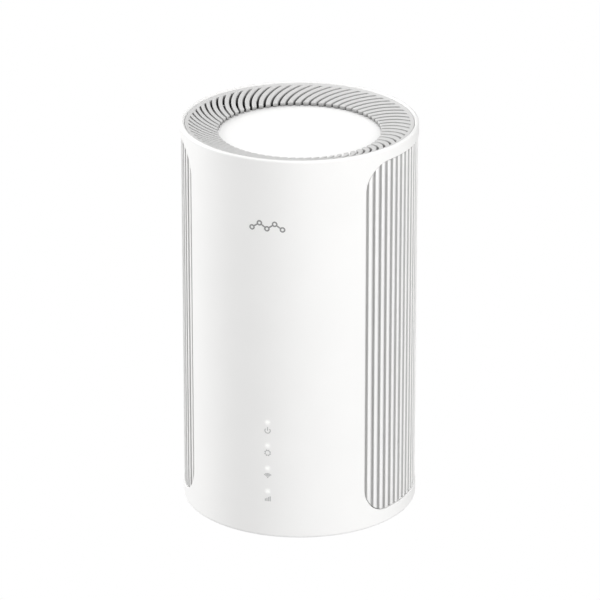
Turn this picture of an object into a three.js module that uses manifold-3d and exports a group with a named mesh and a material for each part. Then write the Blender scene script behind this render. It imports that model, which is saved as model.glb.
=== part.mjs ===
// A mesh wifi node: an upright cylinder that stands on four rubber feet.
// Millimetres, +Z up. The origin is on the surface it stands on, below the cylinder's axis.
// The front, with the status lights, faces -Y; the sockets are at the back, facing +Y.
import * as THREE from "three";
import { mergeVertices } from "three/addons/utils/BufferGeometryUtils.js";
import Module from "manifold-3d";

// ---- Driving dimensions -------------------------------------------------------------------

const RADIUS = 56; // outside of the sleeve
const HEIGHT = 191; // from the surface to the rim
const FOOT_PROUD = 1.2; // the feet lift the sleeve by this much
const WALL = 2.1; // sleeve wall
const GAP = 0.3; // clearance between pieces that sit against each other
const ROUND_SIDES = 60; // facets of a full-size round piece

const INSIDE = RADIUS - WALL;

const opening = { low: 8.4, high: 185.1, corner: 13.5 }; // one in each side of the sleeve
opening.halfAngle = 40.75; // it spans this far either way of the X axis, in degrees
opening.halfWidth = RADIUS * Math.sin(rad(opening.halfAngle));

// Each rib rises steeply over the first half degree and then falls away to the next one.
const vent = { ribs: 20, first: -39.4, pitch: 3.99, rise: 0.5, inner: 52 };
vent.crest = RADIUS - 0.4;
vent.groove = RADIUS - 1.8;

const grille = {
  fins: 66,
  finShare: 0.65, // of the pitch, the rest is air
  phase: 1.2, // angle of the first fin's outer end, in degrees
  inner: 38.3,
  outer: 52, // where the slots end
  edge: INSIDE - GAP,
  slope: 14.7, // the top face falls inwards by this angle
  sweep: 15.5, // a fin turns this far between its ends
  bow: 0.4, // how much more it turns near the outer end
  bandLow: 186.8,
  finLow: 186.9, // the underside of a fin at its outer end
};

const cap = { radius: 39.9, top: 184.4, ledgeRadius: 34 }; // the fins hang over its edge

const lights = { count: 4, lowest: 24.85, pitch: 11.78, hole: 0.95 };

const base = { low: 2, high: 4.4, radius: INSIDE - 0.4, screwRing: 40, footRing: 42 };

const board = { low: 12, high: 150, front: -41, back: 42, face: -6.9, thick: 1.6 };
board.under = board.face - board.thick;

const panel = { face: 46.5, thick: 2, low: 16, high: 104, halfWidth: 18, corner: 4 };
panel.back = panel.face - panel.thick;

const socketFace = panel.face + GAP; // the sockets stand this little proud of the panel
const ports = { power: 28, wan: 47, lan: 66.5, reset: 82, mesh: 92.5 }; // heights above the surface

const antennaAngles = [30, -30, 146, 214];

// ---- Geometry helpers ---------------------------------------------------------------------

const wasm = await Module();
wasm.setup();

function rad(degrees) {
  return (degrees * Math.PI) / 180;
}

/** A closed mesh as a solid for joining and cutting. */
function solidOf(geometry) {
  const bare = geometry.index ? geometry.toNonIndexed() : geometry.clone();
  bare.deleteAttribute("normal");
  bare.deleteAttribute("uv");
  const merged = mergeVertices(bare, 1e-4);
  return new wasm.Manifold(
    new wasm.Mesh({
      numProp: 3,
      vertProperties: merged.attributes.position.array,
      triVerts: new Uint32Array(merged.index.array),
    }),
  );
}

/** A solid as a three.js geometry. */
function geometryOf(solid) {
  const mesh = solid.getMesh();
  const made = new THREE.BufferGeometry();
  made.setAttribute("position", new THREE.BufferAttribute(mesh.vertProperties, 3));
  made.setIndex(new THREE.BufferAttribute(mesh.triVerts, 1));
  return made;
}

function join(...geometries) {
  return geometryOf(geometries.map(solidOf).reduce((all, one) => all.add(one)));
}

function cut(geometry, ...tools) {
  return geometryOf(tools.map(solidOf).reduce((left, tool) => left.subtract(tool), solidOf(geometry)));
}

function common(geometry, other) {
  return geometryOf(solidOf(geometry).intersect(solidOf(other)));
}

/** A box given by its limits along X, Y and Z. */
function block([x0, x1], [y0, y1], [z0, z1]) {
  return new THREE.BoxGeometry(x1 - x0, y1 - y0, z1 - z0).translate(
    (x0 + x1) / 2,
    (y0 + y1) / 2,
    (z0 + z1) / 2,
  );
}

/** A round bar along Z. */
function rodZ(radius, [z0, z1], x, y, sides = 16) {
  return new THREE.CylinderGeometry(radius, radius, z1 - z0, sides)
    .rotateX(Math.PI / 2)
    .translate(x, y, (z0 + z1) / 2);
}

/** A round bar along Y. */
function rodY(radius, [y0, y1], x, z, sides = 16) {
  return new THREE.CylinderGeometry(radius, radius, y1 - y0, sides).translate(x, (y0 + y1) / 2, z);
}

/** A round bar along X. */
function rodX(radius, [x0, x1], y, z, sides = 16) {
  return new THREE.CylinderGeometry(radius, radius, x1 - x0, sides)
    .rotateZ(Math.PI / 2)
    .translate((x0 + x1) / 2, y, z);
}

/** A turned piece about Z from a closed outline of [radius, height] points, listed anticlockwise. */
function turned(outline, sides = ROUND_SIDES) {
  const points = outline.map(([r, z]) => new THREE.Vector2(r, z));
  if (outline[0][0] > 0) points.push(points[0].clone());
  return new THREE.LatheGeometry(points, sides).rotateX(Math.PI / 2);
}

/** A flat ring about Z. */
function ring([r0, r1], [z0, z1], sides = ROUND_SIDES) {
  return turned([[r0, z0], [r1, z0], [r1, z1], [r0, z1]], sides);
}

/** A closed body through equal, convex sections, each a list of [x, y, z] points. */
function loft(sections) {
  const n = sections[0].length;
  const faces = [];
  for (let s = 0; s + 1 < sections.length; s++)
    for (let i = 0; i < n; i++) {
      const [a, b] = [s * n + i, s * n + ((i + 1) % n)];
      faces.push(a, b, b + n, a, b + n, a + n);
    }
  const last = (sections.length - 1) * n;
  for (let i = 1; i + 1 < n; i++) faces.push(0, i + 1, i, last, last + i, last + i + 1);
  const made = new THREE.BufferGeometry();
  made.setAttribute("position", new THREE.Float32BufferAttribute(sections.flat(2), 3));
  made.setIndex(faces);
  return made;
}

function roundedRectangle([u0, u1], [v0, v1], radius) {
  const shape = new THREE.Shape();
  shape.moveTo(u0 + radius, v0);
  shape.lineTo(u1 - radius, v0);
  shape.absarc(u1 - radius, v0 + radius, radius, -Math.PI / 2, 0);
  shape.lineTo(u1, v1 - radius);
  shape.absarc(u1 - radius, v1 - radius, radius, 0, Math.PI / 2);
  shape.lineTo(u0 + radius, v1);
  shape.absarc(u0 + radius, v1 - radius, radius, Math.PI / 2, Math.PI);
  shape.lineTo(u0, v0 + radius);
  shape.absarc(u0 + radius, v0 + radius, radius, Math.PI, 1.5 * Math.PI);
  return shape;
}

/** An outline in the Y-Z plane, extruded along X. */
function alongX(shape, [x0, x1], curveSegments = 6) {
  const made = new THREE.ExtrudeGeometry(shape, { depth: x1 - x0, bevelEnabled: false, curveSegments });
  const basis = new THREE.Matrix4().makeBasis(
    new THREE.Vector3(0, 1, 0),
    new THREE.Vector3(0, 0, 1),
    new THREE.Vector3(1, 0, 0),
  );
  return made.applyMatrix4(basis).translate(x0, 0, 0);
}

/** An outline in the X-Z plane, symmetrical about Z, extruded along Y. */
function alongY(shape, [y0, y1], curveSegments = 4) {
  const made = new THREE.ExtrudeGeometry(shape, { depth: y1 - y0, bevelEnabled: false, curveSegments });
  const basis = new THREE.Matrix4().makeBasis(
    new THREE.Vector3(-1, 0, 0),
    new THREE.Vector3(0, 0, 1),
    new THREE.Vector3(0, 1, 0),
  );
  return made.applyMatrix4(basis).translate(0, y0, 0);
}

/** An outline in the X-Y plane, extruded along Z. */
function alongZ(shape, [z0, z1]) {
  const made = new THREE.ExtrudeGeometry(shape, { depth: z1 - z0, bevelEnabled: false, curveSegments: 4 });
  return made.translate(0, 0, z0);
}

/** Turns a piece made at the front to an angle, in degrees, anticlockwise from above. */
function turn(geometry, angle) {
  return geometry.rotateZ(rad(angle));
}

/** The point at a radius and an angle from the front, in degrees, anticlockwise from above. */
function polar(radius, angle) {
  return [radius * Math.sin(rad(angle)), -radius * Math.cos(rad(angle))];
}

// ---- Materials ----------------------------------------------------------------------------

function material(color, roughness, metalness = 0) {
  return new THREE.MeshStandardMaterial({ color, roughness, metalness });
}

const white = material(0xf4f4f2, 0.38);
const ribWhite = material(0xf2f2f0, 0.42);
const finGrey = material(0xdcdcda, 0.5);
const darkPlastic = material(0x2a2b2d, 0.6);
const rubber = material(0x9a9a98, 0.85);
const steel = material(0xb8babd, 0.3, 1);
const tin = material(0xc8cacc, 0.35, 1);
const aluminium = material(0xaeb1b5, 0.4, 1);
const brass = material(0xc9a24d, 0.3, 1);
const solderMask = material(0x1d4a33, 0.5);
const chipBlack = material(0x161617, 0.55);
const padBlue = material(0x7d93b8, 0.8);
const clear = material(0xf6fbff, 0.15);
const copperFilm = material(0xb9733f, 0.4, 1);
const cableGrey = material(0x3b3c3e, 0.6);
const labelSilver = material(0xd7d8d8, 0.45);

// ---- Casing -------------------------------------------------------------------------------

const lightHeights = Array.from({ length: lights.count }, (_, i) => lights.lowest + i * lights.pitch);

/** The side opening's outline, made smaller all round by a clearance. */
function openingOutline(clearance) {
  const half = opening.halfWidth - clearance;
  return roundedRectangle(
    [-half, half],
    [opening.low + clearance, opening.high - clearance],
    opening.corner - clearance,
  );
}

/** The white tube: a side opening left and right, four light holes in front, a socket opening behind. */
function outerSleeve() {
  const round = 1.05; // of the rim, inside and out
  const foot = 1.4; // chamfer at the bottom
  const lip = { inner: INSIDE - 1.6, low: 185.6, high: 186.4 }; // the grille rests on it
  const tube = turned([
    [INSIDE, FOOT_PROUD],
    [RADIUS - foot, FOOT_PROUD],
    [RADIUS, FOOT_PROUD + foot],
    [RADIUS, HEIGHT - round],
    [RADIUS - round * 0.3, HEIGHT - round * 0.3],
    [RADIUS - round, HEIGHT],
    [INSIDE, HEIGHT - round],
    [INSIDE, lip.high],
    [lip.inner, lip.high],
    [lip.inner, lip.low],
    [INSIDE, lip.low],
  ]);
  const across = [30, RADIUS + 5];
  const sides = openingOutline(0);
  const back = roundedRectangle([-panel.halfWidth, panel.halfWidth], [panel.low, panel.high], panel.corner);
  return cut(
    tube,
    alongX(sides, across),
    alongX(sides, [-across[1], -across[0]]),
    alongY(back, across),
    ...lightHeights.map((z) => rodY(lights.hole, [-RADIUS - 2, -INSIDE + 2], 0, z, 8)),
  );
}

/** A reeded panel that fills a side opening, with a strip each side that bears on the sleeve's inside. */
function ventPanel() {
  const edge = opening.halfAngle + 1.5; // the slab is trimmed to the opening afterwards
  const outline = [polar(vent.groove, 90 - edge)];
  for (let rib = 0; rib < vent.ribs; rib++) {
    const start = 90 + vent.first + rib * vent.pitch;
    outline.push(polar(vent.groove, start));
    for (const fall of [0, 0.4, 0.75]) {
      const radius = vent.crest - (vent.crest - vent.groove) * fall ** 2;
      outline.push(polar(radius, start + vent.rise + (vent.pitch - vent.rise) * fall));
    }
  }
  outline.push(polar(vent.groove, 90 + vent.first + vent.ribs * vent.pitch));
  outline.push(polar(vent.groove, 90 + edge));
  const backSteps = 12;
  for (let i = 0; i <= backSteps; i++)
    outline.push(polar(vent.inner, 90 + (1 - (2 * i) / backSteps) * edge));
  const slab = alongZ(new THREE.Shape(outline.map(([x, y]) => new THREE.Vector2(x, y))), [5, 188]);
  const filling = common(slab, alongX(openingOutline(0.35), [30, RADIUS + 5]));

  const strip = { from: 38, to: 44.5, low: 21.75, high: 171.75, outer: INSIDE - 0.4 };
  const stripSteps = 3;
  const strips = [1, -1].map((side) => {
    const sections = [];
    for (let i = 0; i <= stripSteps; i++) {
      const angle = 90 + side * (strip.from + ((strip.to - strip.from) * i) / stripSteps);
      const [xi, yi] = polar(vent.inner, angle);
      const [xo, yo] = polar(strip.outer, angle);
      sections.push([
        [xi, yi, strip.low],
        [xi, yi, strip.high],
        [xo, yo, strip.high],
        [xo, yo, strip.low],
      ]);
    }
    return loft(side > 0 ? sections : sections.reverse());
  });
  return join(filling, ...strips);
}

/** The height of the grille's conical top face at a radius. */
function grilleTop(radius) {
  return HEIGHT - 0.5 - (INSIDE - radius) * Math.tan(rad(grille.slope));
}

/** The angle of a fin's middle at a radius, counted from its outer end, in degrees. */
function finSweep(radius) {
  const along = (grille.outer - radius) / (grille.outer - grille.inner);
  return grille.sweep * (along + grille.bow * along * (1 - along));
}

/** The swirl of cooling fins round the top, between an outer band and a low inner ring. */
function topGrille() {
  const pitch = 360 / grille.fins;
  const half = (pitch * grille.finShare) / 2;
  const steps = 3;
  const root = grille.outer + 0.5; // a fin starts inside the band
  const clear = cap.radius + GAP; // nearer the axis than this a fin hangs over the disc
  const slant = (r) => 182 + ((grille.finLow - 182) * (r - grille.inner)) / (root - grille.inner);
  const ends = Array.from({ length: steps + 1 }, (_, s) => {
    const r = root + ((clear + 0.05 - root) * s) / steps;
    return [r, slant(r)];
  });
  ends.push([clear, cap.top + GAP], [grille.inner, cap.top + GAP]);
  const fins = [];
  for (let f = 0; f < grille.fins; f++) {
    const sections = ends.map(([r, low]) => {
      const middle = grille.phase + f * pitch + finSweep(r);
      const [ax, ay] = polar(r, middle - half);
      const [bx, by] = polar(r, middle + half);
      const high = grilleTop(r);
      return [[ax, ay, low], [ax, ay, high], [bx, by, high], [bx, by, low]];
    });
    fins.push(loft(sections));
  }
  const band = turned(
    [
      [grille.outer, grille.bandLow],
      [grille.edge, grille.bandLow],
      [grille.edge, grilleTop(grille.edge)],
      [grille.outer, grilleTop(grille.outer)],
    ],
    48,
  );
  const wall = { inner: clear, outer: cap.radius + 1.9, low: cap.top - 3.7, high: cap.top - 1 };
  const innerRing = turned(
    [
      [cap.ledgeRadius, wall.low],
      [wall.outer, wall.low],
      [wall.outer, wall.high],
      [wall.inner, wall.high],
      [wall.inner, wall.low + 1.3],
      [cap.ledgeRadius, wall.low + 1.3],
    ],
    48,
  );
  return join(band, innerRing, ...fins);
}

/** The white disc in the middle of the top, with a locating skirt below. */
function topCap() {
  const { radius, top } = cap;
  const round = 0.5;
  const skirt = { outer: cap.ledgeRadius - 0.4, inner: cap.ledgeRadius - 1.6, low: top - 5.7 };
  return turned(
    [
      [0, top - 2.1],
      [skirt.inner, top - 2.1],
      [skirt.inner, skirt.low],
      [skirt.outer, skirt.low],
      [skirt.outer, top - 2.1],
      [radius, top - 2.1],
      [radius, top - round],
      [radius - round, top],
      [0, top + 0.3],
    ],
    40,
  );
}

/** The bottom plate: air slots, a skirt inside the sleeve and four screw seats. */
function baseCover() {
  const slots = { count: 12, from: 23, to: 35, width: 2.4 };
  const seat = { radius: 4.6, high: 7, head: 3.2, hole: 1.75 };
  const screwAngles = [0, 90, 180, 270];
  const plate = rodZ(base.radius, [base.low, base.high], 0, 0, ROUND_SIDES);
  const skirt = ring([base.radius - 1.8, base.radius], [base.high - 0.2, 7.6]);
  const seats = screwAngles.map((a) =>
    turn(rodZ(seat.radius, [base.high - 0.2, seat.high], 0, -base.screwRing, 12), a),
  );
  const tools = screwAngles.flatMap((a) => [
    turn(rodZ(seat.head, [base.low - 1, base.low + 2.6], 0, -base.screwRing, 12), a),
    turn(rodZ(seat.hole, [base.low, seat.high + 1], 0, -base.screwRing, 8), a),
  ]);
  for (let i = 0; i < slots.count; i++) {
    const slot = block([-slots.width / 2, slots.width / 2], [-slots.to, -slots.from], [0, base.high + 1]);
    tools.push(turn(slot, ((i + 0.5) * 360) / slots.count));
  }
  return cut(join(plate, skirt, ...seats), ...tools);
}

function foot() {
  return turned([[0, 0], [5.9, 0], [6.5, 0.6], [6.5, base.low - 0.1], [0, base.low - 0.1]], 18);
}

/** A small screw along Z with its head's underside at 0 and its shank upwards. */
function screw(head, shank, length) {
  const drive = 0.5 * head; // the cross recess in the head
  const outline = [[0, -1.8], [head * 0.9, -1.8], [head, 0], [shank, 0], [shank, length], [0, length]];
  return cut(
    turned(outline, 10),
    block([-drive, drive], [-0.3, 0.3], [-2.5, -1]),
    block([-0.3, 0.3], [-drive, drive], [-2.5, -1]),
  );
}

/** The recessed socket tray, with a hole for each socket and button. */
function rearIoBezel() {
  const lipRadius = RADIUS - 0.4;
  const side = 1.6; // the tray's walls
  const fit = 0.3;
  const half = panel.halfWidth - fit;
  const heights = [panel.low + fit, panel.high - fit];
  const box = alongY(roundedRectangle([-half, half], heights, panel.corner - fit), [panel.back, 62]);
  const flange = block([-19.8, 19.8], [panel.back, panel.face + 0.6], [panel.low - 1.7, panel.high + 1.7]);
  const pocket = alongY(
    roundedRectangle([-half + side, half - side], [heights[0] + side, heights[1] - side], panel.corner - 2),
    [panel.face, 70],
  );
  const through = [panel.back - 3, panel.face + 1];
  const rounded = common(join(box, flange), rodZ(lipRadius, [0, HEIGHT], 0, 0, ROUND_SIDES));
  return cut(
    rounded,
    pocket,
    block([-7.05, 7.05], through, [ports.wan - 8.3, ports.wan + 8.3]),
    block([-7.05, 7.05], through, [ports.lan - 8.3, ports.lan + 8.3]),
    block([-6.9, 4.7], through, [ports.power - 4.8, ports.power + 4.8]),
    rodY(1.1, through, 0, ports.reset, 12),
    rodY(4.3, through, 0, ports.mesh, 24),
  );
}

// ---- Sockets and buttons ------------------------------------------------------------------

const jack = { halfWidth: 8, half: 6.75, depth: 21.3, metal: 0.4 };
const jackBack = socketFace - jack.depth;

/** The tinned can round a network socket: four walls and a back. */
function jackShield(height) {
  const inside = [-jack.half + jack.metal, jack.half - jack.metal];
  return cut(
    block(
      [-jack.half, jack.half],
      [jackBack, socketFace],
      [height - jack.halfWidth, height + jack.halfWidth],
    ),
    block(
      inside,
      [jackBack + jack.metal, socketFace + 1],
      [height - jack.halfWidth + jack.metal, height + jack.halfWidth - jack.metal],
    ),
  );
}

/** The plastic body in the can, with the plug's cavity and the notch for its latch. */
function jackInsert(height) {
  const fit = jack.metal + 0.25;
  const depth = 14; // of the cavity
  const cavity = [socketFace - depth, socketFace + 1];
  return cut(
    block(
      [-jack.half + fit, jack.half - fit],
      [jackBack + fit, socketFace - 0.1],
      [height - jack.halfWidth + fit, height + jack.halfWidth - fit],
    ),
    block([-3.6, 3.2], cavity, [height - 6, height + 6]),
    block([3, 5.2], cavity, [height - 3.2, height + 3.2]),
  );
}

function powerJackBody() {
  const z = ports.power;
  return cut(
    block([-6.6, 4.4], [socketFace - 14, socketFace], [z - 4.5, z + 4.5]),
    rodY(3.15, [socketFace - 9.5, socketFace + 1], 0, z, 20),
    rodY(1.3, [socketFace - 15, socketFace - 9], 0, z, 12),
  );
}

function powerJackPin() {
  return rodY(1, [socketFace - 13.5, socketFace - 1], 0, ports.power, 12);
}

/** The round button cap: a flange behind the panel stops it coming out. */
function meshButton() {
  const z = ports.mesh;
  return join(
    rodY(4, [panel.back - 0.5, panel.face + 1.1], 0, z, 24),
    rodY(5, [panel.back - 2.3, panel.back - GAP], 0, z, 24),
    rodY(1.6, [panel.back - 2.6, panel.back - 2.2], 0, z, 12),
  );
}

/** The pin behind the reset hole, pressed with a paper clip. */
function resetPlunger() {
  const z = ports.reset;
  return join(
    rodY(1.5, [panel.back - 2.9, panel.back - 0.5], 0, z, 12),
    rodY(0.75, [panel.back - 0.6, panel.face - 0.9], 0, z, 12),
  );
}

/** A side-pressed switch on the board, with its own short actuator. */
function tactSwitch(height, half, actuator, reach) {
  return join(
    block([board.face + 0.1, 2.6], [36.4, 40.2], [height - half, height + half]),
    rodY(actuator, [40, reach], 0, height, 12),
  );
}

// ---- Electronics --------------------------------------------------------------------------

const heatSink = { under: -4.4, plate: 2.5, high: 9, front: -32, back: 30, low: 79, top: 147 };
const heatSinkScrews = [[-27, 83], [25, 143]]; // [y, z]
const boardScrews = [[-36, 18], [-36, 140]];
const soc = { y: [-9, 9], z: [104, 122], high: -5.1 };

function mainBoard() {
  return cut(
    block([board.under, board.face], [board.front, board.back], [board.low, board.high]),
    ...heatSinkScrews.map(([y, z]) => rodX(1.5, [board.under - 1, board.face + 1], y, z, 10)),
    ...boardScrews.map(([y, z]) => rodX(1.6, [board.under - 1, board.face + 1], y, z, 10)),
  );
}

/** A finned plate; its fins run upwards so that warm air can rise between them. */
function finnedHeatSink() {
  const fins = { count: 12, thick: 1.4, low: 87, high: 139 };
  const { under, plate, high, front, back, low, top } = heatSink;
  const step = (back - front - fins.thick) / (fins.count - 1);
  const pieces = [block([under, under + plate], [front, back], [low, top])];
  for (let i = 0; i < fins.count; i++) {
    const y = front + i * step;
    pieces.push(block([under + plate - 0.1, high], [y, y + fins.thick], [fins.low, fins.high]));
  }
  const holes = heatSinkScrews.map(([y, z]) => rodX(1.5, [under - 1, under + plate + 1], y, z, 10));
  return cut(join(...pieces), ...holes);
}

/** A screw along X, pointing to -X, with its head's underside at x. */
function screwAlongX(head, shank, length, [y, z], x) {
  return screw(head, shank, length).rotateY(-Math.PI / 2).translate(x, y, z);
}

/** A pressed can over a radio, open towards the board. */
function radioShield([y0, y1], [z0, z1]) {
  const [low, high, metal] = [board.under - 3.1, board.under - 0.1, 0.4];
  return cut(
    block([low, high], [y0, y1], [z0, z1]),
    block([low + metal, high + 1], [y0 + metal, y1 - metal], [z0 + metal, z1 - metal]),
  );
}

/** The small board behind the lights. */
const lightBoard = { front: -47.6, back: -46.4 };

function ledBoard() {
  return block([-9, 7], [lightBoard.front, lightBoard.back], [18, 68]);
}

function led() {
  return block([-1.4, 1.4], [lightBoard.front - 1.1, lightBoard.front - 0.1], [-0.9, 0.9]);
}

/** One clear moulding carries the light of all four to the front. */
function lightGuide() {
  const bar = { half: 2.5, front: -53.2, back: -51.4 };
  const reach = lights.pitch / 2;
  const heights = [lightHeights[0] - reach * 0.6, lightHeights.at(-1) + reach * 0.6];
  const pegs = lightHeights.flatMap((z) => [
    rodY(lights.hole - GAP, [-RADIUS + 0.3, bar.front + 0.2], 0, z, 8),
    rodY(1.3, [bar.back - 0.2, -49.3], 0, z, 8),
  ]);
  return join(block([-bar.half, bar.half], [bar.front, bar.back], heights), ...pegs);
}

/** The baffle that keeps each light in its own cell. */
function lightBaffle() {
  const cells = lightHeights.map((z) => block([-2.6, 2.6], [-53, -46], [z - 3, z + 3]));
  return cut(block([-4.6, 4.6], [-51, -47.8], [20.5, 66]), ...cells);
}

/** The flat cable from the small board to the main board, standing on edge. */
function ledRibbonCable() {
  const halfThick = 0.15;
  const path = new THREE.CatmullRomCurve3(
    [
      [4.5, -46],
      [4.5, -43.5],
      [1.5, -39.5],
      [-3.5, -37.5],
      [-6.4, -35.2],
      [-6.4, -31],
    ].map(([x, y]) => new THREE.Vector3(x, y, 0)),
  );
  const sections = [];
  const steps = 16;
  for (let i = 0; i <= steps; i++) {
    const p = path.getPoint(i / steps);
    const t = path.getTangent(i / steps);
    const [nx, ny] = [-t.y * halfThick, t.x * halfThick];
    sections.push([
      [p.x + nx, p.y + ny, 30],
      [p.x + nx, p.y + ny, 36],
      [p.x - nx, p.y - ny, 36],
      [p.x - nx, p.y - ny, 30],
    ]);
  }
  return loft(sections);
}

/** A flat antenna as fitted at the front: a strip with a slot and a foot for its cable. */
function antenna() {
  const plate = [-51, -50.2];
  return cut(
    block([-7, 7], plate, [98, 144]),
    block([-1, 1], [-52, -49], [118, 140]),
    block([-8, -4.4], [-52, -49], [112, 122]),
    block([4.4, 8], [-52, -49], [112, 122]),
  );
}

/** Each antenna's thin cable, as points from the antenna to its plug. */
const antennaCables = [
  [
    [30.2, -39.6, 104], [26.5, -34.5, 100], [14, -34, 90],
    [1, -36, 83], [-4.6, -36.5, 79.5], [-6, -36.5, 75.9],
  ],
  [
    [-30.2, -39.6, 104], [-26.5, -34.5, 100], [-18, -33.5, 92],
    [-11.8, -34.5, 84], [-9.4, -34.5, 79], [-9.4, -34.5, 75.9],
  ],
  [
    [32.8, 37.4, 104], [29, 32, 107], [18, 33.5, 117],
    [5, 36, 128], [-4.4, 36.5, 134.5], [-6, 36.5, 140.1],
  ],
  [
    [-32.8, 37.4, 104], [-29, 32, 106], [-20, 34, 114],
    [-12.5, 36.5, 124], [-9.4, 36.5, 130], [-9.4, 36.5, 134.1],
  ],
];

function antennaCable(points) {
  const radius = 0.55;
  const section = new THREE.Shape();
  section.absarc(0, 0, radius, 0, 2 * Math.PI);
  const extrudePath = new THREE.CatmullRomCurve3(points.map((p) => new THREE.Vector3(...p)));
  const sweep = { steps: 14, bevelEnabled: false, curveSegments: 4, extrudePath };
  return new THREE.ExtrudeGeometry(section, sweep);
}

/** The press-on plug at a cable's board end: [x range, y, z]. */
const cablePlugs = [
  [[-6.8, -5.2], -36.5, 74.1],
  [[-10.2, -8.6], -34.5, 74.1],
  [[-6.8, -5.2], 36.5, 141.9],
  [[-10.2, -8.6], 36.5, 135.9],
];

/** The dark skeleton: two rings on four posts, rails for the board and bosses for the base's screws. */
function innerFrame() {
  const rings = { inner: 45.5, outer: 49.9 };
  const low = [8, 11];
  const high = [166, 169];
  const collar = { inner: 49.5, outer: 51.4, top: 184.9 }; // hides the inside below the vent
  const rail = { x: [-12, -3.5], slot: [board.under - 0.3, board.face + 0.3] };
  const posts = antennaAngles.map((a) => turn(block([-5, 5], [-49.9, -46.5], [low[0], high[1]]), a));
  const bosses = [0, 90, 180, 270].flatMap((a) => [
    turn(block([-2.5, 2.5], [-47, -base.screwRing], low), a),
    turn(rodZ(3.8, [7.3, 16], 0, -base.screwRing, 10), a),
  ]);
  const tabs = boardScrews.map(([, z]) => block([-14, board.under - 0.2], [-46, -33], [z - 4, z + 4]));
  const body = join(
    ring([rings.inner, rings.outer], low, 36),
    ring([rings.inner, rings.outer], high, 36),
    ring([collar.inner, collar.outer], [high[0], collar.top], 36),
    ...posts,
    ...bosses,
    ...tabs,
    block(rail.x, [-46, -40.4], [low[0], high[1]]),
    block(rail.x, [board.back - 1, 46.5], [108, high[1]]),
  );
  return cut(
    body,
    block(rail.slot, [board.front - 0.4, board.back + 0.4], [board.low - 0.3, board.high + 0.4]),
    ...boardScrews.map(([y, z]) => rodX(1.6, [-15, board.under], y, z, 8)),
    ...[0, 90, 180, 270].map((a) => turn(rodZ(1.75, [7, 17], 0, -base.screwRing, 8), a)),
  );
}

// ---- Assembly -----------------------------------------------------------------------------

const node = new THREE.Group();

function add(name, geometry, finish, [x, y, z] = [0, 0, 0], angle = 0) {
  const mesh = new THREE.Mesh(geometry, finish);
  mesh.name = name;
  mesh.position.set(x, y, z);
  mesh.rotation.z = rad(angle);
  node.add(mesh);
}

add("outer_sleeve", outerSleeve(), white);
add("top_grille", topGrille(), finGrey);
add("top_cap", topCap(), white);
add("right_vent_panel", ventPanel(), ribWhite);
// the same moulding turned end for end, so that its ribs also rise from the front
const turnedOver = ventPanel().rotateY(Math.PI).translate(0, 0, opening.low + opening.high);
add("left_vent_panel", turnedOver, ribWhite);
add("base_cover", baseCover(), white);
[45, 135, 225, 315].forEach((angle, i) => {
  const [x, y] = polar(base.footRing, angle);
  add(`rubber_foot_${i + 1}`, foot(), rubber, [x, y, 0]);
});
[0, 90, 180, 270].forEach((angle, i) => {
  const [x, y] = polar(base.screwRing, angle);
  add(`base_screw_${i + 1}`, screw(2.9, 1.45, 10), steel, [x, y, 4.2]);
});
add("rating_label", rodZ(18, [base.low - 0.25, base.low - 0.05], 0, 0, 36), labelSilver);

add("rear_io_bezel", rearIoBezel(), finGrey);
for (const [name, height] of [["wan", ports.wan], ["lan", ports.lan]]) {
  add(`${name}_jack_shield`, jackShield(height), tin);
  add(`${name}_jack_insert`, jackInsert(height), chipBlack);
}
add("power_jack_body", powerJackBody(), chipBlack);
add("power_jack_pin", powerJackPin(), brass);
add("mesh_button", meshButton(), white);
add("mesh_switch", tactSwitch(ports.mesh, 3, 1.7, 41.2), chipBlack);
add("reset_plunger", resetPlunger(), finGrey);
add("reset_switch", tactSwitch(ports.reset, 3, 1.2, 41.1), chipBlack);

add("main_board", mainBoard(), solderMask);
add("soc_chip", block([board.face + 0.1, soc.high], soc.y, soc.z), chipBlack);
add("memory_chip", block([board.face + 0.1, -5.7], [14, 24], [106, 120]), chipBlack);
add("thermal_pad", block([soc.high + 0.05, heatSink.under - 0.05], soc.y, soc.z), padBlue);
add("heat_sink", finnedHeatSink(), aluminium);
heatSinkScrews.forEach((at, i) =>
  add(
    `heat_sink_screw_${i + 1}`,
    screwAlongX(2.3, 1.2, 7.5, at, heatSink.under + heatSink.plate + 0.1),
    steel,
  ),
);
boardScrews.forEach((at, i) =>
  add(`board_screw_${i + 1}`, screwAlongX(2.6, 1.25, 6, at, board.face + 0.1), steel),
);
add("radio_shield_1", radioShield([-28, 2], [96, 130]), tin);
add("radio_shield_2", radioShield([6, 34], [96, 130]), tin);

add("led_board", ledBoard(), solderMask);
lightHeights.forEach((z, i) => add(`led_${i + 1}`, led(), clear, [0, 0, z]));
add("light_guide", lightGuide(), clear);
add("light_baffle", lightBaffle(), darkPlastic);
add("led_ribbon_cable", ledRibbonCable(), white);

antennaAngles.forEach((angle, i) => {
  add(`antenna_${i + 1}`, antenna(), copperFilm, [0, 0, 0], angle);
  add(`antenna_cable_${i + 1}`, antennaCable(antennaCables[i]), cableGrey);
  const [x, y, z] = cablePlugs[i];
  add(`cable_plug_${i + 1}`, rodX(1.5, x, y, z, 12), brass);
});
add("inner_frame", innerFrame(), darkPlastic);

export default node;
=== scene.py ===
"""The looks of an upright cylindrical mesh wifi node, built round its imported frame.

Metres, +Z up, front to -Y. Sizes are millimetres until a mesh is made. Angles are degrees.
"""

from math import acos, asin, atan2, cos, degrees, hypot, pi, radians, sin, sqrt, tan

import bmesh
import bpy
import numpy as np
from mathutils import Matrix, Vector, geometry


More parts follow.
